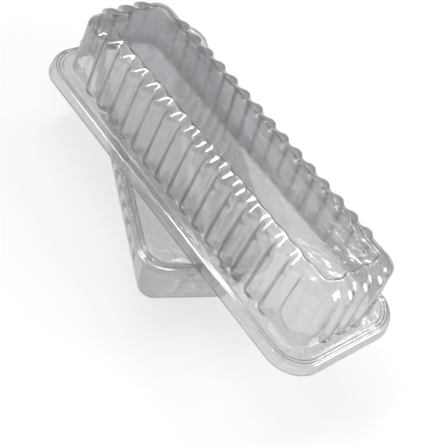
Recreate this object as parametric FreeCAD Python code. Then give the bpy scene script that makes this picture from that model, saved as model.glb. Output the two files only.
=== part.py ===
import FreeCAD, Part
import math
import os

from FreeCAD import Placement, Rotation, Vector

# A long clear plastic pack in two halves, each formed from one thin sheet.
# The tray stands open on the table. The lid has been taken off and lies,
# domed side up and askew, across the rim of the tray.
# X runs along the lid, Z is up, and the origin is on the table, under the
# middle of the lid.

# Driving dimensions, in millimetres and degrees

SHEET = 0.4
RIB_PITCH = 14.0
DRAFT = 6.6
TRAY_TURN = -23.7
TRAY_SHIFT = Vector(-51.8, 6.0, 0)

LID_RIBS = 15
LID_END_PANEL = 33.0
LID_WALL_WIDTH = 73.0
LID_HEIGHT = 47.6
LID_FLANGE = 12.0
LID_SKIRT = 7.0

TRAY_RIBS = 12
TRAY_END_PANEL = 34.3
TRAY_WALL_WIDTH = 77.4
TRAY_HEIGHT = 47.6
TRAY_FLANGE = 7.5
TRAY_SKIRT = 2.4

END_RIBS = 3

# Sizes that follow from them

END_PITCH = 0.92 * RIB_PITCH
LID_RIB_SIZE = 0.8
TRAY_RIB_SIZE = 0.42
KNUCKLE_WIDTH = 0.78 * RIB_PITCH
KNUCKLE_RISE = 0.22 * RIB_PITCH
STEP_START = 0.52 * RIB_PITCH
STEP_RUN = 0.8
WALL_CORNER = RIB_PITCH
LID_BROW = 12.0
SKIRT_FLARE = 0.25 * LID_SKIRT
PANEL_MARGIN = 5.0 * SHEET
SLOPE = math.tan(math.radians(DRAFT))
BEAD = 3.0 * SHEET
THROUGH = 1.0

# How finely round stretches are divided, and how near counts as together

RIB_SIDES = 4
CORNER_SIDES = 6
SAME = 0.0001
FLAT = 0.00000001


class Level:
    """The outline of a skin at one height.

    The plain sides lie at half_long and half_wide from the middle. Between
    the end panels the long sides are sunk a little, and the ribs stand out
    from them at the given size, where 1 is a full knuckle.
    """

    def __init__(self, height, half_long, half_wide, corner, rib=0.0, sink=None):
        self.height = height
        self.half_long = half_long
        self.half_wide = half_wide
        self.corner = corner
        self.rib = rib
        self.sink = sink

    def inside(self, inset):
        """The same outline for the inner face of the sheet."""
        return Level(self.height, self.half_long - inset, self.half_wide - inset,
                     self.corner - inset, max(self.rib - 1.2 * inset / KNUCKLE_WIDTH, 0.0), self.sink)


def rib_places(count, pitch):
    """Rib centres along one side, evenly spaced about its middle."""
    first = -0.5 * (count - 1) * pitch
    return [first + pitch * number for number in range(count)]


def side_points(middle, along, outward, half, level, ribs):
    """One side between two corners: a plain panel, the ribs, a plain panel."""
    points = [middle - along * half]
    sunk = ribs and level.sink is not None
    low = middle
    if sunk:
        low = middle - outward * level.sink
        foot = along * (ribs[-1] + STEP_START)
        brow = foot + along * (STEP_RUN * level.sink)
        points += [middle - brow, low - foot]
    for place in ribs:
        centre = low + along * place
        for number in range(RIB_SIDES + 1):
            turn = math.pi * number / RIB_SIDES
            reach = -0.5 * KNUCKLE_WIDTH * level.rib * math.cos(turn)
            rise = KNUCKLE_RISE * level.rib * math.sin(turn)
            points.append(centre + along * reach + outward * rise)
    if sunk:
        points += [low + foot, middle + brow]
    points.append(middle + along * half)
    return points


def outline(level, long_ribs, end_ribs):
    """The closed outline at one level: four sides, and the corners between."""
    x_axis = Vector(1, 0, 0)
    y_axis = Vector(0, 1, 0)
    flush = Level(level.height, 0, 0, 0, level.rib)
    sides = (
        (y_axis * -1, x_axis, level.half_wide, level.half_long, long_ribs, level),
        (x_axis, y_axis, level.half_long, level.half_wide, end_ribs, flush),
        (y_axis, x_axis * -1, level.half_wide, level.half_long, long_ribs, level),
        (x_axis * -1, y_axis * -1, level.half_long, level.half_wide, end_ribs, flush),
    )
    points = []
    for outward, along, distance, reach, ribs, shape in sides:
        middle = outward * distance + Vector(0, 0, level.height)
        half = reach - level.corner
        points += side_points(middle, along, outward, half, shape, ribs)
        centre = middle + along * half - outward * level.corner
        for number in range(1, CORNER_SIDES):
            turn = 0.5 * math.pi * number / CORNER_SIDES
            lean = outward * math.cos(turn) + along * math.sin(turn)
            points.append(centre + lean * level.corner)
    return points


def face(points):
    """A flat face through the points, without those that fall together."""
    kept = []
    for point in points:
        if not kept or point.distanceToPoint(kept[-1]) > SAME:
            kept.append(point)
    if kept[0].distanceToPoint(kept[-1]) < SAME:
        kept.pop()
    if len(kept) < 3:
        return []
    return [Part.Face(Part.makePolygon(kept + kept[:1]))]


def band(low, high):
    """The strip of flat faces between two outlines with as many points."""
    faces = []
    for number in range(len(low)):
        after = (number + 1) % len(low)
        a, b, c, d = low[number], low[after], high[after], high[number]
        across = (c - a).cross(d - b)
        twist = abs(across.normalize().dot(b - a)) if across.Length > SAME else 0.0
        if twist < FLAT:
            faces += face([a, b, c, d])
        else:
            faces += face([a, b, c]) + face([a, c, d])
    return faces


def skin(levels, long_ribs=(), end_ribs=()):
    """A solid through all the levels, closed at its foot and its top."""
    rings = [outline(level, long_ribs, end_ribs) for level in levels]
    faces = face(rings[0]) + face(rings[-1])
    for low, high in zip(rings, rings[1:]):
        faces += band(low, high)
    shell = Part.makeShell(faces)
    shell.sewShape()
    solid = Part.makeSolid(shell)
    if solid.Volume < 0:
        solid.reverse()
    return solid


def plate(low, high, level, spread=0.0):
    """A plain rounded block between two heights, wider at its foot by spread."""
    foot = Level(low, level.half_long + spread, level.half_wide + spread, level.corner + spread)
    head = Level(high, level.half_long, level.half_wide, level.corner)
    return skin([foot, head])


def formed(levels, long_ribs, end_ribs, rim, panel_depth=0.0):
    """The walls, the panel and the flange, dome up, flange top at height 0.

    The outer face is one solid, the inner face is the same shape a sheet
    further in, and the half is what is left between the two.
    """
    foot = levels[0]
    top = levels[-1]
    bead = Level(0, (foot.half_long + rim.half_long) / 2, (foot.half_wide + rim.half_wide) / 2,
                 (foot.corner + rim.corner) / 2)
    outer = skin(levels, long_ribs, end_ribs)
    outer = outer.fuse([plate(-SHEET, 0, rim), plate(-SHEET, BEAD, bead)])
    inner_levels = [level.inside(SHEET) for level in levels]
    inner_levels[-1].height -= SHEET
    inner = skin(inner_levels, long_ribs, end_ribs)
    inner = inner.fuse(plate(-THROUGH, BEAD - SHEET, bead.inside(SHEET)))
    if panel_depth > 0:
        panel = top.inside(PANEL_MARGIN)
        floor = top.height - panel_depth
        outer = outer.cut(plate(floor, top.height + THROUGH, panel))
        inner = inner.cut(plate(floor - SHEET, top.height, panel.inside(-SHEET)))
    return outer.cut(inner)


def turned_edge(rim, low, high, flare=0.0):
    """The strip that turns up or down round the outer edge of a flange."""
    return plate(low, high, rim, flare).cut(plate(low, high, rim.inside(SHEET), flare))


def rim_of(foot, flange):
    """The outer edge of a flange of the given width round the foot of the walls."""
    return Level(0, foot.half_long + flange, foot.half_wide + flange, foot.corner + 0.7 * flange)


def lid():
    """The lid: steep ribbed walls, with a knuckle over the shoulder at each rib."""
    long_ribs = rib_places(LID_RIBS, RIB_PITCH)
    end_ribs = rib_places(END_RIBS, END_PITCH)
    half_long = long_ribs[-1] + LID_END_PANEL
    half_wide = LID_WALL_WIDTH / 2

    def wall(part, rib):
        height = part * LID_HEIGHT
        lean = 0.5 * SLOPE * height
        return Level(height, half_long - lean, half_wide - lean, WALL_CORNER, rib, lean)

    def shoulder(part, inward, rib):
        corner = WALL_CORNER - 0.66 * inward
        return Level(part * LID_HEIGHT, half_long - inward, half_wide - inward, corner, rib, 0.0)

    levels = [
        wall(0.0, LID_RIB_SIZE),
        wall(0.72, LID_RIB_SIZE),
        wall(0.79, 0.9),
        wall(0.87, 1.0),
        shoulder(0.95, 0.55 * LID_BROW, 0.85),
        shoulder(1.0, LID_BROW, 0.3),
    ]
    rim = rim_of(levels[0], LID_FLANGE)
    shape = formed(levels, long_ribs, end_ribs, rim, BEAD)
    return shape.fuse(turned_edge(rim, -LID_SKIRT, 0, SKIRT_FLARE))


def tray():
    """The tray: lower ribs on the walls, and a soft plain edge round its floor."""
    long_ribs = rib_places(TRAY_RIBS, RIB_PITCH)
    end_ribs = rib_places(END_RIBS, END_PITCH)
    half_long = long_ribs[-1] + TRAY_END_PANEL
    half_wide = TRAY_WALL_WIDTH / 2

    def wall(part, inward, rib):
        height = part * TRAY_HEIGHT
        lean = SLOPE * height + inward
        return Level(height, half_long - lean, half_wide - lean, WALL_CORNER, rib)

    levels = [
        wall(0.0, 0.0, TRAY_RIB_SIZE),
        wall(0.80, 0.0, TRAY_RIB_SIZE),
        wall(0.92, 0.0, 0.0),
        wall(0.97, 0.8, 0.0),
        wall(1.0, 2.6, 0.0),
    ]
    rim = rim_of(levels[0], TRAY_FLANGE)
    shape = formed(levels, long_ribs, end_ribs, rim)
    return shape.fuse(turned_edge(rim, -SHEET, TRAY_SKIRT))


def save(name, shape, placement):
    """Clean one solid, set it in its place and write its file."""
    solid = shape.removeSplitter().Solids[0]
    solid.Placement = placement
    print(name, solid.isValid(), len(shape.Solids), len(solid.Faces), solid.BoundBox)
    solid.exportStep("parts/" + name + ".step")


def main():
    os.makedirs("parts", exist_ok=True)
    over = Rotation(Vector(1, 0, 0), 180)
    turned = Rotation(Vector(0, 0, 1), TRAY_TURN)
    save("tray", tray(), Placement(TRAY_SHIFT + Vector(0, 0, TRAY_HEIGHT), turned * over))
    save("lid", lid(), Placement(Vector(0, 0, TRAY_HEIGHT + SHEET + LID_SKIRT), Rotation()))


main()
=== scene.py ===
# %% [markdown]
# # A clear plastic pack in two halves
#
# The real pack is two sheets of clear plastic, each heated and pulled over a
# mould: a tray that stands on the table, and a lid that lies askew across its
# rim. Every rib and step is the same sheet, bent, so each half is one piece
# here too: one continuous surface that is given its thickness at the end.
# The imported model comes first. It says where each half lies.

import math

import bmesh
import bpy
from mathutils import Matrix, Vector


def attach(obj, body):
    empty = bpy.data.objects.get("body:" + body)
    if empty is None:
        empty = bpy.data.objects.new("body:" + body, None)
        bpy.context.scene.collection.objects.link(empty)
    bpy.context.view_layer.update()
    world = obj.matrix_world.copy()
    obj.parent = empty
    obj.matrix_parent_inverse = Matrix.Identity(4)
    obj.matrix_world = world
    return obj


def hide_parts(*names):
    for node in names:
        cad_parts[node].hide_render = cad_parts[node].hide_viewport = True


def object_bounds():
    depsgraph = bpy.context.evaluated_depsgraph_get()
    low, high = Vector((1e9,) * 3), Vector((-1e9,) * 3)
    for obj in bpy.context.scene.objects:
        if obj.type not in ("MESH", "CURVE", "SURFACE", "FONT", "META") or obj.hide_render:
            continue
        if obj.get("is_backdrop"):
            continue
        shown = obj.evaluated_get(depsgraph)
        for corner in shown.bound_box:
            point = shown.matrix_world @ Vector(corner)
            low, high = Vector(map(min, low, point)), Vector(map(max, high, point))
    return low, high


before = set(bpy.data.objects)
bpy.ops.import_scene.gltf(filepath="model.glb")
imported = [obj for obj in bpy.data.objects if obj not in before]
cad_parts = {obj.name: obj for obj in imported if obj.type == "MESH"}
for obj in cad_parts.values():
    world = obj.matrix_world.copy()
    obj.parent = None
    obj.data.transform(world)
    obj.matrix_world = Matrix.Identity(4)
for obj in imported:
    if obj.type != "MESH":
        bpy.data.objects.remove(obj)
cad_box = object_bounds()
MM = 0.001
print("nodes in the packed model:", sorted(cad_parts))

# %% [markdown]
# ## The camera
#
# The picture looks down on the pack from above its near long side, and it is
# rolled, so that the lid runs from top left to bottom right. A camera can be
# aimed with a Track To constraint, but that can't hold such a roll. So the
# directions of its right and upper edges are written down as they are.

# %% Place the camera
CAMERA_AT = Vector((0.2777, -0.3797, 0.5067))
CAMERA_RIGHT = Vector((0.57825, 0.76022, 0.29612)).normalized()
CAMERA_UP = Vector((-0.71642, 0.29950, 0.63011)).normalized()
SENSOR, LENS = 36, 79.7

camera = bpy.data.objects.new("camera", bpy.data.cameras.new("camera"))
bpy.context.scene.collection.objects.link(camera)
axes = Matrix((CAMERA_RIGHT, CAMERA_UP, CAMERA_RIGHT.cross(CAMERA_UP))).transposed()
camera.matrix_world = Matrix.Translation(CAMERA_AT) @ axes.to_4x4()
camera.data.sensor_width = SENSOR
camera.data.lens = LENS
bpy.context.scene.camera = camera
print("camera at", tuple(round(x, 3) for x in CAMERA_AT), "with a lens of", LENS, "mm")

# %% [markdown]
# ## The outline of a half
#
# Seen from above, each half is a rectangle with round corners at every height.
# Only its size changes, from the wide flange to the narrow top. A modeller can
# draw this with curves and a loft. A list of points does the same and keeps
# every ring at the same number of points, which is what joining rings needs.
# Each point also remembers which way is outwards, for the ribs.

# %% Points round one ring
COLUMN = 1.2 * MM
CORNER_COLUMNS = 12
LONG_SIDE, END_SIDE, CORNER = 0.0, 1.0, 2.0
X_AXIS, Y_AXIS = Vector((1, 0, 0)), Vector((0, 1, 0))


def ring(half_long, half_wide, corner, long_columns, end_columns):
    """Points round a rounded rectangle, as (position, outward, side)."""
    points = []
    sides = (
        (-Y_AXIS, X_AXIS, half_wide, half_long, long_columns, LONG_SIDE),
        (X_AXIS, Y_AXIS, half_long, half_wide, end_columns, END_SIDE),
        (Y_AXIS, -X_AXIS, half_wide, half_long, long_columns, LONG_SIDE),
        (-X_AXIS, -Y_AXIS, half_long, half_wide, end_columns, END_SIDE),
    )
    for outward, along, distance, reach, columns, side in sides:
        half = reach - corner
        for number in range(columns + 1):
            place = half * (2.0 * number / columns - 1.0)
            points.append((outward * distance + along * place, outward, side))
        centre = outward * (distance - corner) + along * half
        for number in range(1, CORNER_COLUMNS):
            turn = 0.5 * math.pi * number / CORNER_COLUMNS
            lean = outward * math.cos(turn) + along * math.sin(turn)
            points.append((centre + lean * corner, lean, CORNER))
    return points


print("a small ring has", len(ring(0.02, 0.01, 0.005, 4, 2)), "points")

# %% [markdown]
# ## The profile of a half
#
# Cut the wall of the pack with a knife, and the cut edge is a thin line that
# runs from the turned edge over the flange, up the wall and over the shoulder.
# Sheet pulled over a mould has no sharp bend, so each corner of the line has a
# small radius. Bevels on a finished mesh could round them too, but rounding the
# line itself is exact and costs nothing. The same line goes round the whole
# ring.

# %% Round the corners of a profile
BEND_STEP = 22
NEARLY_STRAIGHT = math.radians(179)


def bend_points(before, corner, after, radius):
    """The points of one round bend between two straight stretches."""
    back = (before - corner).normalized()
    ahead = (after - corner).normalized()
    bend = back.angle(ahead)
    if radius == 0 or bend > NEARLY_STRAIGHT:
        return [corner]
    centre = corner + (back + ahead).normalized() * (radius / math.sin(bend / 2))
    start = corner + back * (radius / math.tan(bend / 2)) - centre
    turn = math.copysign(math.pi - bend, ahead.cross(back))
    steps = max(2, math.ceil(math.degrees(abs(turn)) / BEND_STEP))
    points = []
    for number in range(steps + 1):
        spoke = start.copy()
        spoke.rotate(Matrix.Rotation(turn * number / steps, 2))
        points.append(centre + spoke)
    return points


def rounded(corners, spacing):
    """A line through (reach, height, radius) corners, with points about a spacing apart."""
    places = [Vector(corner[:2]) for corner in corners]
    points = [places[0]]
    for number in range(1, len(places) - 1):
        points += bend_points(*places[number - 1:number + 2], corners[number][2])
    points.append(places[-1])
    fine = [points[0]]
    for low, high in zip(points, points[1:]):
        parts = max(1, round((high - low).length / spacing))
        fine += [low.lerp(high, number / parts) for number in range(1, parts + 1)]
    return fine


print("a square bend has", len(rounded([(0, 0, 0), (1, 0, 0.2), (1, 1, 0)], 2)), "points")

# %% [markdown]
# ## One sheet from rings and profile
#
# Each point of the profile becomes one ring, and neighbouring rings are joined
# with four-sided faces. The last rings shrink to the middle line of the panel,
# so the sheet has no hole. Where points fall together there, they are merged,
# which closes the seam. After that all faces are turned to look the same way,
# out of the dome, because the thickness is later added on their other side.

# %% Build the plain sheet
TOGETHER = 0.001 * MM
CORNER_GROWTH = 0.68


def sheet_rings(mesh, foot_long, foot_wide, foot_corner, profile):
    """One ring of points for each point of the profile, with their attributes."""
    outward_layer = mesh.verts.layers.float_vector.new("outward")
    side_layer = mesh.verts.layers.float.new("side")
    long_columns = round(2 * (foot_long - foot_corner) / COLUMN)
    end_columns = round(2 * (foot_wide - foot_corner) / COLUMN)
    rings = []
    for reach, height in profile:
        corner = max(foot_corner + CORNER_GROWTH * reach, 0.0)
        corner = min(corner, foot_wide + reach)
        row = []
        for point, outward, side in ring(foot_long + reach, foot_wide + reach, corner,
                                         long_columns, end_columns):
            vertex = mesh.verts.new((point.x, point.y, height))
            vertex[outward_layer] = outward
            vertex[side_layer] = side
            row.append(vertex)
        rings.append(row)
    return rings


def plain_sheet(name, foot_long, foot_wide, foot_corner, profile):
    """The half without its ribs, dome up, with the top of the flange at height 0."""
    mesh = bmesh.new()
    rings = sheet_rings(mesh, foot_long, foot_wide, foot_corner, profile)
    for low, high in zip(rings, rings[1:]):
        for number in range(len(low)):
            after = (number + 1) % len(low)
            mesh.faces.new((low[number], low[after], high[after], high[number]))
    bmesh.ops.remove_doubles(mesh, verts=mesh.verts, dist=TOGETHER)
    bmesh.ops.recalc_face_normals(mesh, faces=mesh.faces)
    top = max(mesh.faces, key=lambda face: face.calc_center_median().z)
    if top.normal.z < 0:
        bmesh.ops.reverse_faces(mesh, faces=mesh.faces)
    open_edges = sum(edge.is_boundary for edge in mesh.edges)
    data = bpy.data.meshes.new(name)
    mesh.to_mesh(data)
    mesh.free()
    data.shade_smooth()
    sheet = bpy.data.objects.new(name, data)
    bpy.context.scene.collection.objects.link(sheet)
    print(name, "plain sheet:", len(data.vertices), "points in", len(profile), "rings;",
          open_edges, "open edges, all round the rim of", len(rings[0]), "points")
    return sheet


print("points closer than", TOGETHER, "m are merged")

# %% [markdown]
# ## Sizes of the two halves
#
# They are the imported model's own sizes, in metres. A profile gives, for each
# corner, how far out from the foot of the wall it lies, its height and the
# radius of the bend.

# %% Sizes
SHEET = 0.4 * MM
WALL_HEIGHT = 47.6 * MM
WALL_CORNER = 14 * MM
BAND = 1.2 * MM
SLOPE = math.tan(math.radians(6.6))
ROW_SPACING = 2.1 * MM

KNUCKLE_PART = 0.87

LID_LONG, LID_WIDE = 131 * MM, 36.5 * MM
LID_FLANGE, LID_SKIRT = 12 * MM, 7 * MM
LID_PANEL = 14 * MM
TRAY_LONG, TRAY_WIDE = 111.3 * MM, 38.7 * MM
TRAY_FLANGE, TRAY_LIP = 7.5 * MM, 2.4 * MM
FLOOR_STEP = 14 * MM
print("flange outlines: lid", round(2 * (LID_LONG + LID_FLANGE), 4), "m long, tray",
      round(2 * (TRAY_LONG + TRAY_FLANGE), 4), "m long")

# %% [markdown]
# ## The lid and the tray, still plain
#
# The flange of each half has a stepped band next to the wall. The lid's flange
# has two fine pressed lines as well, its edge turns down as a skirt, and its
# top is a panel sunk inside a narrow rim. The tray is drawn dome up too and is
# turned over later, so what goes up here goes down on the table. Its edge has a
# short turned-down lip, and its floor stands a little higher inside a soft
# plain edge. All of these keep a flat sheet stiff.

# %% Profiles and plain sheets
LINE_HALF, LINE_RISE, LINE_RADIUS = 0.55 * MM, 0.35 * MM, 0.2 * MM


def pressed_line(reach):
    """Corners of a fine pressed line on the flange."""
    return [(reach + LINE_HALF, 0, LINE_RADIUS), (reach, LINE_RISE, LINE_RADIUS),
            (reach - LINE_HALF, 0, LINE_RADIUS)]


lid_profile = rounded([
    (LID_FLANGE + 0.25 * LID_SKIRT, -LID_SKIRT, 0),
    (LID_FLANGE, 0, 1.8 * MM),
    *pressed_line(0.82 * LID_FLANGE), *pressed_line(0.68 * LID_FLANGE),
    (0.53 * LID_FLANGE, 0, 0.5 * MM),
    (0.50 * LID_FLANGE, BAND, 0.5 * MM),
    (0, BAND, 0.9 * MM),
    (-0.5 * SLOPE * KNUCKLE_PART * WALL_HEIGHT, KNUCKLE_PART * WALL_HEIGHT, 3.0 * MM),
    (-6.6 * MM, 0.95 * WALL_HEIGHT, 6.0 * MM),
    (-12 * MM, WALL_HEIGHT, 1.2 * MM),
    (-LID_PANEL, WALL_HEIGHT, 0.5 * MM),
    (-LID_PANEL - 0.4 * MM, WALL_HEIGHT - BAND, 0.5 * MM),
    (-LID_WIDE, WALL_HEIGHT - BAND, 0),
], ROW_SPACING)
tray_profile = rounded([
    (TRAY_FLANGE - SHEET, TRAY_LIP, 0),
    (TRAY_FLANGE - SHEET, 0, 0.5 * MM),
    (0.53 * TRAY_FLANGE, 0, 0.4 * MM),
    (0.48 * TRAY_FLANGE, BAND, 0.4 * MM),
    (0, BAND, 0.8 * MM),
    (-SLOPE * WALL_HEIGHT, WALL_HEIGHT, 3.2 * MM),
    (-FLOOR_STEP, WALL_HEIGHT, 0.6 * MM),
    (-FLOOR_STEP - 0.5 * MM, WALL_HEIGHT - BAND, 0.6 * MM),
    (-TRAY_WIDE, WALL_HEIGHT - BAND, 0),
], ROW_SPACING)
lid = plain_sheet("lid_shell", LID_LONG, LID_WIDE, WALL_CORNER, lid_profile)
tray = plain_sheet("tray_shell", TRAY_LONG, TRAY_WIDE, WALL_CORNER, tray_profile)

# %% [markdown]
# ## Small helpers for node trees
#
# A node tree in a script is nodes and links. These helpers add one node, give
# its inputs numbers or links, and hand back its output, so a rule reads almost
# like a formula.

# %% Helpers for nodes
def feed(tree, socket, value):
    """Give a socket a plain value, or link another socket to it."""
    if isinstance(value, bpy.types.NodeSocket):
        tree.links.new(value, socket)
    else:
        socket.default_value = value


def maths(tree, operation, *values):
    """One Math node, with its inputs filled in order."""
    node = tree.nodes.new("ShaderNodeMath")
    node.operation = operation
    for socket, value in zip(node.inputs, values):
        feed(tree, socket, value)
    return node.outputs[0]


def product(tree, *values):
    """All the values multiplied together."""
    result = values[0]
    for value in values[1:]:
        result = maths(tree, "MULTIPLY", result, value)
    return result


def ramp(tree, value, start, end, low, high, shape="LINEAR"):
    """Goes from low to high while the value goes from start to end."""
    node = tree.nodes.new("ShaderNodeMapRange")
    node.interpolation_type = shape
    labels = ("Value", "From Min", "From Max", "To Min", "To Max")
    for label, given in zip(labels, (value, start, end, low, high)):
        feed(tree, node.inputs[label], given)
    return node.outputs[0]


def between(tree, low, high, share):
    """The value at a share of the way from low to high."""
    return maths(tree, "MULTIPLY_ADD", maths(tree, "SUBTRACT", high, low), share, low)


print("node helpers:", ", ".join(helper.__name__ for helper in (feed, maths, product, ramp, between)))

# %% [markdown]
# ## Ribs and knuckles
#
# Ribs stand on the walls at an even pitch, and on the lid each swells into a
# knuckle on the shoulder. They stop a thin wall from folding. A rib could be
# modelled once and copied with an Array, but it would have to be cut into the
# sheet. Here the sheet is pushed outwards instead, as the mould does it: a
# geometry tree finds the nearest rib for each point, and how far the sheet
# swells there. Pitch, number and swelling are named inputs, so the same rule
# serves both halves.

# %% The rule for one row of ribs
RIB_PITCH = 14 * MM
END_PITCH = 0.92 * RIB_PITCH
LID_RIBS, TRAY_RIBS, END_RIBS = 15, 12, 3


def rib_rise(tree, along, pitch, count, width, rise, flank):
    """How far the nearest rib pushes a point out: flat on top, with sloping flanks."""
    last = maths(tree, "SUBTRACT", count, 1.0)
    start = product(tree, last, 0.5, pitch)
    from_first = maths(tree, "ADD", along, start)
    nearest = maths(tree, "ROUND", maths(tree, "DIVIDE", from_first, pitch))
    nearest = maths(tree, "MAXIMUM", maths(tree, "MINIMUM", nearest, last), 0.0)
    offset = maths(tree, "SUBTRACT", from_first, product(tree, nearest, pitch))
    part = maths(tree, "DIVIDE", maths(tree, "ABSOLUTE", offset), product(tree, width, 0.5))
    return ramp(tree, part, maths(tree, "SUBTRACT", 1.0, flank), 1.0, rise, 0.0)


for half, count in (("lid", LID_RIBS), ("tray", TRAY_RIBS)):
    print(half, "has", count, "ribs in a row", round((count - 1) * RIB_PITCH, 4), "m long")

# %% [markdown]
# A rib changes with height: low on the wall, full at the knuckle, nothing at
# the floor of the tray. Float Curve nodes hold that change, one for how much of
# a knuckle there is and one for how much of any rib is left. Their points are
# the only difference between the trees of the two halves.

# %% How the ribs change with height
LID_RIB_WIDTH, LID_RIB_RISE = 0.86 * RIB_PITCH, 0.18 * RIB_PITCH
TRAY_RIB_WIDTH, TRAY_RIB_RISE = 0.46 * RIB_PITCH, 0.092 * RIB_PITCH
KNUCKLE_WIDTH, KNUCKLE_RISE = 0.78 * RIB_PITCH, 0.25 * RIB_PITCH


def against_height(tree, climb, spots):
    """A Float Curve through (share of the height, value) spots."""
    curve = tree.nodes.new("ShaderNodeFloatCurve")
    line = curve.mapping.curves[0]
    line.points[0].location, line.points[-1].location = spots[0], spots[-1]
    for spot in spots[1:-1]:
        line.points.new(*spot)
    curve.mapping.update()
    feed(tree, curve.inputs["Value"], climb)
    return curve.outputs[0]


def attribute(tree, name, kind="FLOAT"):
    """Reads one of the sheet's own attributes in a geometry tree."""
    node = tree.nodes.new("GeometryNodeInputNamedAttribute")
    node.data_type = kind
    node.inputs["Name"].default_value = name
    return node.outputs["Attribute"]


def rib_push(tree, given, place, knuckle_spots, left_spots):
    """How far the ribs of the long sides and of the ends push each point out."""
    x, y, z = place
    climb = maths(tree, "DIVIDE", z, given["Wall height"])
    knuckle = against_height(tree, climb, knuckle_spots)
    width = between(tree, given["Rib width"], given["Knuckle width"], knuckle)
    rise = between(tree, given["Rib rise"], given["Knuckle rise"], knuckle)
    above = maths(tree, "GREATER_THAN", z, 1.1 * BAND)
    rise = product(tree, rise, against_height(tree, climb, left_spots), above)
    side = attribute(tree, "side")
    on_long = maths(tree, "LESS_THAN", side, 0.5)
    on_end = maths(tree, "COMPARE", side, END_SIDE, 0.1)
    flank = given["Flank"]
    long_ribs = rib_rise(tree, x, given["Pitch"], given["Number"], width, rise, flank)
    end_ribs = rib_rise(tree, y, given["End pitch"], given["End number"], width, rise, flank)
    return maths(tree, "ADD", product(tree, long_ribs, on_long), product(tree, end_ribs, on_end))


print("rise in m: lid ribs", round(LID_RIB_RISE, 5), "knuckles", round(KNUCKLE_RISE, 5),
      "tray ribs", round(TRAY_RIB_RISE, 5))

# %% [markdown]
# ## The sunk zone of the lid
#
# The plain panels at the ends of the lid's long wall stand a little steeper than
# the ribbed zone between them, so that zone lies slightly behind the panels. The
# step grows with height and fades out at the shoulder. It could be cut with a
# Boolean, but pushing the points inwards keeps the sheet in one piece.

# %% The rule for the sunk zone
STEP_RUN = 1.6 * MM


def sunk_depth(tree, given, place):
    """How far the ribbed zone of a long side lies behind its end panels."""
    x, y, z = place
    beyond = maths(tree, "SUBTRACT", maths(tree, "ABSOLUTE", x), given["Sunk reach"])
    climb = maths(tree, "DIVIDE", z, given["Wall height"])
    depth = product(tree, given["Sunk slope"], maths(tree, "MINIMUM", z, KNUCKLE_PART * WALL_HEIGHT))
    on_long = maths(tree, "LESS_THAN", attribute(tree, "side"), 0.5)
    above = maths(tree, "GREATER_THAN", z, 1.1 * BAND)
    return product(tree, depth, ramp(tree, beyond, 0.0, STEP_RUN, 1.0, 0.0),
                   ramp(tree, climb, KNUCKLE_PART, 0.95, 1.0, 0.0), on_long, above)


print("the step at each end of the ribbed zone is", STEP_RUN, "m long")

# %% [markdown]
# ## Round marks
#
# Faint rings show in the sheet, one on the near wall at each end of the lid, and
# one in the floor at each end of the tray. A round part of the mould can leave
# such a mark. The distance from a given point says where the ring runs, and the
# sheet moves along its normal there. Taking X without its sign gives a ring at
# both ends with one rule.

# %% The rule for the round marks
MARK_HALF = 1.3 * MM


def mark_push(tree, given, place):
    """How far a round mark moves each point along its normal."""
    x, y, z = place
    both_ends = tree.nodes.new("ShaderNodeCombineXYZ")
    for socket, value in zip(both_ends.inputs, (maths(tree, "ABSOLUTE", x), y, z)):
        feed(tree, socket, value)
    away = tree.nodes.new("ShaderNodeVectorMath")
    away.operation = "DISTANCE"
    feed(tree, away.inputs[0], both_ends.outputs[0])
    feed(tree, away.inputs[1], given["Mark at"])
    off_ring = maths(tree, "SUBTRACT", away.outputs["Value"], given["Mark radius"])
    part = maths(tree, "DIVIDE", maths(tree, "ABSOLUTE", off_ring), MARK_HALF)
    crest = maths(tree, "MAXIMUM", maths(tree, "SUBTRACT", 1.0, part), 0.0)
    return product(tree, crest, given["Mark rise"])


print("the line of a round mark is", round(2 * MARK_HALF, 5), "m wide")

# %% [markdown]
# ## One tree for a half
#
# The tree takes the plain sheet and gives back the formed one: first the ribs
# and the sunk zone, sideways, then the round marks, along the new normals. It
# ends with real geometry and the material.

# %% The tree that forms a sheet
TREE_INPUTS = ("Pitch", "Number", "End pitch", "End number", "Rib width", "Rib rise",
               "Knuckle width", "Knuckle rise", "Flank", "Wall height", "Sunk slope",
               "Sunk reach", "Mark radius", "Mark rise")


def shifted(tree, sheet, direction, distance):
    """Moves every point of the sheet by a distance in its own direction."""
    scale = tree.nodes.new("ShaderNodeVectorMath")
    scale.operation = "SCALE"
    feed(tree, scale.inputs[0], direction)
    feed(tree, scale.inputs["Scale"], distance)
    moved = tree.nodes.new("GeometryNodeSetPosition")
    feed(tree, moved.inputs["Geometry"], sheet)
    feed(tree, moved.inputs["Offset"], scale.outputs[0])
    return moved.outputs[0]


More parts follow.
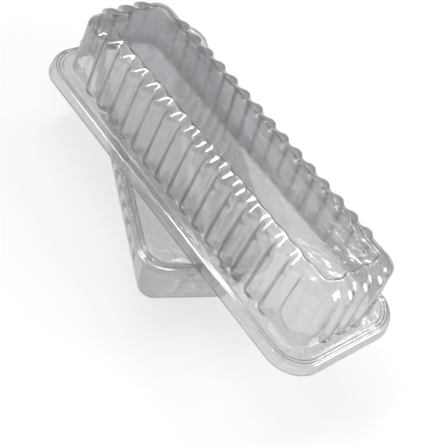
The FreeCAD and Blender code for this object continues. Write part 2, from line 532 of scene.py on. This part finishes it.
def forming_tree(name, knuckle_spots, left_spots):
    """A geometry tree that pushes ribs and marks out of a plain sheet."""
    tree = bpy.data.node_groups.new(name, "GeometryNodeTree")
    tree.interface.new_socket("Sheet", in_out="INPUT", socket_type="NodeSocketGeometry")
    for label in TREE_INPUTS:
        tree.interface.new_socket(label, in_out="INPUT", socket_type="NodeSocketFloat")
    tree.interface.new_socket("Mark at", in_out="INPUT", socket_type="NodeSocketVector")
    tree.interface.new_socket("Plastic", in_out="INPUT", socket_type="NodeSocketMaterial")
    tree.interface.new_socket("Formed", in_out="OUTPUT", socket_type="NodeSocketGeometry")
    given = tree.nodes.new("NodeGroupInput").outputs

    split = tree.nodes.new("ShaderNodeSeparateXYZ")
    tree.links.new(tree.nodes.new("GeometryNodeInputPosition").outputs[0], split.inputs[0])
    place = tuple(split.outputs)
    push = maths(tree, "SUBTRACT", rib_push(tree, given, place, knuckle_spots, left_spots),
                 sunk_depth(tree, given, place))
    ribbed = shifted(tree, given["Sheet"], attribute(tree, "outward", "FLOAT_VECTOR"), push)
    marked = shifted(tree, ribbed, tree.nodes.new("GeometryNodeInputNormal").outputs[0],
                     mark_push(tree, given, place))
    real = tree.nodes.new("GeometryNodeRealizeInstances")
    feed(tree, real.inputs[0], marked)
    finish = tree.nodes.new("GeometryNodeSetMaterial")
    feed(tree, finish.inputs["Geometry"], real.outputs[0])
    feed(tree, finish.inputs["Material"], given["Plastic"])
    feed(tree, tree.nodes.new("NodeGroupOutput").inputs["Formed"], finish.outputs[0])
    return tree


lid_tree = forming_tree(
    "lid ribs", [(0, 0), (0.72, 0), (0.80, 0.85), (KNUCKLE_PART, 1.0), (0.95, 0.95), (1, 0.9)],
    [(0, 1), (KNUCKLE_PART, 1), (0.95, 0.85), (1, 0.25)])
tray_tree = forming_tree("tray ribs", [(0, 0), (1, 0)], [(0, 1), (0.78, 1), (0.92, 0), (1, 0)])
print("forming trees:", lid_tree.name, "and", tray_tree.name, "with", len(lid_tree.nodes), "nodes each")

# %% [markdown]
# ## Marks of the forming
#
# A sheet that was pulled over a mould is never even. Where it was stretched it
# has fine streaks in the direction of the pull, and its face is a little wavy,
# so whatever is seen in it or through it wobbles. Both plastics use the same
# two effects, so each is a shader group, made once, with sizes as its inputs.

# %% A group for the streaks and one for the waves
def effect_group(name, inputs, output):
    """An empty shader group with number inputs and one number output."""
    tree = bpy.data.node_groups.new(name, "ShaderNodeTree")
    for label, value in inputs.items():
        socket = tree.interface.new_socket(label, in_out="INPUT", socket_type="NodeSocketFloat")
        socket.default_value = value
    tree.interface.new_socket(output, in_out="OUTPUT", socket_type="NodeSocketFloat")
    given = tree.nodes.new("NodeGroupInput").outputs
    return tree, given, tree.nodes.new("NodeGroupOutput").inputs[0]


def noise(tree, scale, stretch, detail):
    """Noise on Object coordinates, drawn out along Z by the stretch."""
    place = tree.nodes.new("ShaderNodeMapping")
    tree.links.new(tree.nodes.new("ShaderNodeTexCoord").outputs["Object"], place.inputs["Vector"])
    squeeze = tree.nodes.new("ShaderNodeCombineXYZ")
    for axis, share in (("X", 1.0), ("Y", 1.0), ("Z", maths(tree, "DIVIDE", 1.0, stretch))):
        feed(tree, squeeze.inputs[axis], share)
    tree.links.new(squeeze.outputs[0], place.inputs["Scale"])
    pattern = tree.nodes.new("ShaderNodeTexNoise")
    tree.links.new(place.outputs[0], pattern.inputs["Vector"])
    feed(tree, pattern.inputs["Scale"], scale)
    pattern.inputs["Detail"].default_value = detail
    return pattern.outputs["Fac"]


streaks, given, out = effect_group("stretch streaks", {"Scale": 260.0, "Stretch": 9.0}, "Streak")
feed(streaks, out, noise(streaks, given["Scale"], given["Stretch"], 3.0))

waves, given, out = effect_group(
    "sheet waves", {"Wave scale": 70.0, "Fine scale": 320.0, "Fine share": 0.25}, "Height")
wide = noise(waves, given["Wave scale"], 1.6, 1.0)
fine = noise(waves, given["Fine scale"], 3.0, 2.0)
feed(waves, out, maths(waves, "MULTIPLY_ADD", fine, given["Fine share"], wide))
print("shader groups:", streaks.name, "and", waves.name)

# %% [markdown]
# ## Clear plastic
#
# The sheet is clear, a little grey, and glossy. It could be a plain see-through
# colour, but then its bends would not show. Here light really passes through
# it and bends at both faces. Where the eye looks along the sheet, its colour is
# painted dark: a little of that is the longer way light takes through the sheet,
# most of it is painted shade. A Layer Weight node gives that painted shade, and it
# is what draws the ribs and the outline. A small share of the light passes straight
# through, set by Alpha, which keeps the overlap of the two halves bright. One end
# of each half is crumpled, so its waves are deeper.

# %% The plastic
WAVE_DEPTH = 0.6 * MM
# Painted shade: between these facing values the colour goes over to the dark edge colour.
PAINTED_SHADE_START, PAINTED_SHADE_FULL = 0.30, 0.82


def effect(tree, group, output):
    """One of the shader groups, used in a material."""
    node = tree.nodes.new("ShaderNodeGroup")
    node.node_tree = group
    return node.outputs[output]


def plastic(name, clear, edge, streak_share, wave, crumple):
    """Clear sheet: colour straight on, painted shade colour edge-on, and (start, end, depth) of its
    crumpling.
    """
    material = bpy.data.materials.new(name)
    material.use_nodes = True
    tree = material.node_tree
    shader = tree.nodes["Principled BSDF"]
    streak = effect(tree, streaks, "Streak")

    # Painted shade: the colour darkens towards the edge colour where the sheet is seen edge-on, with
    # the real stretch streaks mixed in.
    facing = tree.nodes.new("ShaderNodeLayerWeight")
    facing.inputs["Blend"].default_value = 0.5
    along = ramp(tree, facing.outputs["Facing"], PAINTED_SHADE_START, PAINTED_SHADE_FULL, 0.0, 1.0, "SMOOTHSTEP")
    uneven = product(tree, maths(tree, "SUBTRACT", streak, 0.5), streak_share)
    colour_with_painted_shade = tree.nodes.new("ShaderNodeMix")
    colour_with_painted_shade.data_type = "RGBA"
    feed(tree, colour_with_painted_shade.inputs[0], maths(tree, "ADD", along, uneven))
    colour_with_painted_shade.inputs[6].default_value = (*clear, 1)
    colour_with_painted_shade.inputs[7].default_value = (*edge, 1)
    feed(tree, shader.inputs["Base Color"], colour_with_painted_shade.outputs[2])
    feed(tree, shader.inputs["Roughness"], ramp(tree, streak, 0.35, 0.75, 0.02, 0.12))

    spot = tree.nodes.new("ShaderNodeSeparateXYZ")
    tree.links.new(tree.nodes.new("ShaderNodeTexCoord").outputs["Object"], spot.inputs[0])
    start, end, deepest = crumple
    bump = tree.nodes.new("ShaderNodeBump")
    bump.inputs["Strength"].default_value = wave
    feed(tree, bump.inputs["Distance"], ramp(tree, spot.outputs["X"], start, end, WAVE_DEPTH, deepest))
    feed(tree, bump.inputs["Height"], effect(tree, waves, "Height"))
    feed(tree, shader.inputs["Normal"], bump.outputs[0])
    for label, value in (("Transmission Weight", 1.0), ("IOR", 1.58), ("Alpha", 0.85),
                         ("Coat Weight", 1.0), ("Coat IOR", 1.6), ("Coat Roughness", 0.06)):
        shader.inputs[label].default_value = value
    return material


# The second colour of each plastic is painted shade, used where the sheet is seen edge-on.
lid_plastic = plastic("lid plastic", (0.65, 0.655, 0.67), (0.04, 0.04, 0.05), 0.5, 0.85,
                      (80 * MM, 125 * MM, 1.8 * MM))
tray_plastic = plastic("tray plastic", (0.73, 0.735, 0.75), (0.05, 0.05, 0.06), 0.5, 0.9,
                       (-5 * MM, 40 * MM, 2.2 * MM))
print("plastics:", lid_plastic.name, "and", tray_plastic.name)

# %% [markdown]
# ## Form the sheets
#
# The modifier gets its sizes by the name that each input has inside the tree,
# not by its label. Then the shaped surface is read back as a plain mesh, moved
# to its place, and the modifier goes. The lid keeps its dome up. The tray is
# the same kind of dome turned over.

# %% Raise the ribs and put each half in place
def form(sheet, tree, sizes, place):
    """Runs the tree once, keeps the result as a plain mesh and gives it thickness."""
    modifier = sheet.modifiers.new("ribs", "NODES")
    modifier.node_group = tree
    for item in tree.interface.items_tree:
        if item.item_type == "SOCKET" and item.in_out == "INPUT" and item.name in sizes:
            modifier[item.identifier] = sizes[item.name]
    shaped = bpy.data.meshes.new_from_object(
        sheet.evaluated_get(bpy.context.evaluated_depsgraph_get()))
    sheet.modifiers.remove(modifier)
    sheet.data = shaped
    shaped.name = sheet.name
    shaped.transform(place)
    wall = sheet.modifiers.new("sheet thickness", "SOLIDIFY")
    wall.thickness = SHEET
    wall.offset = -1
    print(sheet.name, "formed:", len(shaped.polygons), "faces, about",
          4 * len(shaped.polygons), "triangles when thick")


LID_AT = Matrix.Translation((0, 0, WALL_HEIGHT + SHEET + LID_SKIRT))
TRAY_SHIFT, TRAY_TURN = (-51.8 * MM, 6 * MM, WALL_HEIGHT), math.radians(-23.7)
TRAY_AT = (Matrix.Translation(TRAY_SHIFT) @ Matrix.Rotation(TRAY_TURN, 4, "Z")
           @ Matrix.Rotation(math.pi, 4, "X"))
both = {"Pitch": RIB_PITCH, "End pitch": END_PITCH, "End number": float(END_RIBS), "Flank": 0.70,
        "Wall height": WALL_HEIGHT, "Knuckle width": KNUCKLE_WIDTH, "Knuckle rise": KNUCKLE_RISE}
form(lid, lid_tree, {
    **both, "Number": float(LID_RIBS), "Rib width": LID_RIB_WIDTH, "Rib rise": LID_RIB_RISE,
    "Sunk slope": 0.5 * SLOPE, "Sunk reach": (0.5 * (LID_RIBS - 1) + 0.52) * RIB_PITCH,
    "Mark at": (117 * MM, -35.5 * MM, 19 * MM), "Mark radius": 9 * MM, "Mark rise": 0.8 * MM,
    "Plastic": lid_plastic}, LID_AT)
form(tray, tray_tree, {
    **both, "Number": float(TRAY_RIBS), "Rib width": TRAY_RIB_WIDTH, "Rib rise": TRAY_RIB_RISE,
    "Sunk slope": 0.0, "Sunk reach": 0.0,
    "Mark at": (82 * MM, 0, WALL_HEIGHT - BAND), "Mark radius": 9.5 * MM, "Mark rise": -0.6 * MM,
    "Plastic": tray_plastic}, TRAY_AT)

for piece, node in ((lid, "lid"), (tray, "tray")):
    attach(piece, "root")
    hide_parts(node)

# %% [markdown]
# ## Floor
#
# The pack lies on a plain white table. The table shows as white to the camera,
# in the plastic and through it, by a light of its own that only those rays see.
# It still takes the shadow. A lit backdrop would do the same, but would need
# more lamps.

# %% Floor
WHITE_SHARE = 0.7
FLOOR_HALF = 20


def floor_material():
    """A pale table that camera, glossy and transmission rays see as nearly white."""
    material = bpy.data.materials.new("white table")
    material.use_nodes = True
    tree = material.node_tree
    shader = tree.nodes["Principled BSDF"]
    shader.inputs["Base Color"].default_value = (0.9, 0.9, 0.9, 1)
    shader.inputs["Roughness"].default_value = 0.6
    glow = tree.nodes.new("ShaderNodeEmission")
    glow.inputs["Color"].default_value = (1, 1, 1, 1)
    path = tree.nodes.new("ShaderNodeLightPath")
    seen = maths(tree, "MAXIMUM", path.outputs["Is Camera Ray"], path.outputs["Is Glossy Ray"])
    seen = maths(tree, "MAXIMUM", seen, path.outputs["Is Transmission Ray"])
    mix = tree.nodes.new("ShaderNodeMixShader")
    feed(tree, mix.inputs[0], product(tree, seen, WHITE_SHARE))
    tree.links.new(shader.outputs[0], mix.inputs[1])
    tree.links.new(glow.outputs[0], mix.inputs[2])
    tree.links.new(mix.outputs[0], tree.nodes["Material Output"].inputs["Surface"])
    return material


floor_mesh = bpy.data.meshes.new("floor")
corners = [(x * FLOOR_HALF, y * FLOOR_HALF, 0) for x, y in ((-1, -1), (1, -1), (1, 1), (-1, 1))]
floor_mesh.from_pydata(corners, [], [(0, 1, 2, 3)])
floor_mesh.materials.append(floor_material())
floor = bpy.data.objects.new("floor", floor_mesh)
bpy.context.scene.collection.objects.link(floor)
floor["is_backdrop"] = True
print("floor", 2 * FLOOR_HALF, "m wide")

# %% [markdown]
# ## Lights
#
# Clear plastic shows its shape by what it mirrors, so each lamp is placed for
# an edge that shines in the picture. The strip overhead draws the short bright
# strokes on the knuckles, the back lamp the lines along the flange, and the
# right lamp the patches on the crumpled end. The left lamp only fills in. The
# world gives an even grey from all sides. Light has to pass many faces of
# sheet, so it may bounce often.

# %% Lights and world
BOUNCES = 32


def soft_light(name, at, aim, size, power):
    """A rectangular area lamp that looks at a point."""
    light = bpy.data.lights.new(name, "AREA")
    light.shape = "RECTANGLE"
    light.size, light.size_y = size
    light.energy = power
    lamp = bpy.data.objects.new(name, light)
    lamp.location = at
    lamp.rotation_euler = (Vector(aim) - Vector(at)).to_track_quat("-Z", "Y").to_euler()
    bpy.context.scene.collection.objects.link(lamp)
    print(name, "at", at, "with", power, "W")


soft_light("back softbox", (-0.22, 0.62, 1.05), (0.1, -0.04, 0.05), (0.45, 0.12), 2.5)
soft_light("top strip", (-0.45, -0.08, 1.2), (0, 0, 0.08), (0.9, 0.08), 5.5)
soft_light("left softbox", (-0.75, -0.85, 0.9), (0, 0, 0.05), (0.2, 0.2), 3.5)
soft_light("right softbox", (0.90, 0.66, 0.70), (0.1, 0, 0.1), (0.6, 0.45), 8.0)
world = bpy.data.worlds.new("studio")
world.use_nodes = True
sky = world.node_tree.nodes["Background"]
sky.inputs["Color"].default_value = (0.45, 0.45, 0.46, 1)
sky.inputs["Strength"].default_value = 1.0
scene = bpy.context.scene
scene.world = world
scene.view_settings.view_transform = "Standard"
scene.cycles.transparent_max_bounces = BOUNCES
scene.cycles.transmission_bounces = BOUNCES
scene.cycles.max_bounces = BOUNCES

# %% [markdown]
# ## Sizes, and the end
#
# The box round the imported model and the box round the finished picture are
# written side by side, so that it is easy to see that they agree.

# %% Sizes, and the end
for label, box in (("packed model:", cad_box), ("finished picture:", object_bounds())):
    print(label, [[round(x, 4) for x in corner] for corner in box])
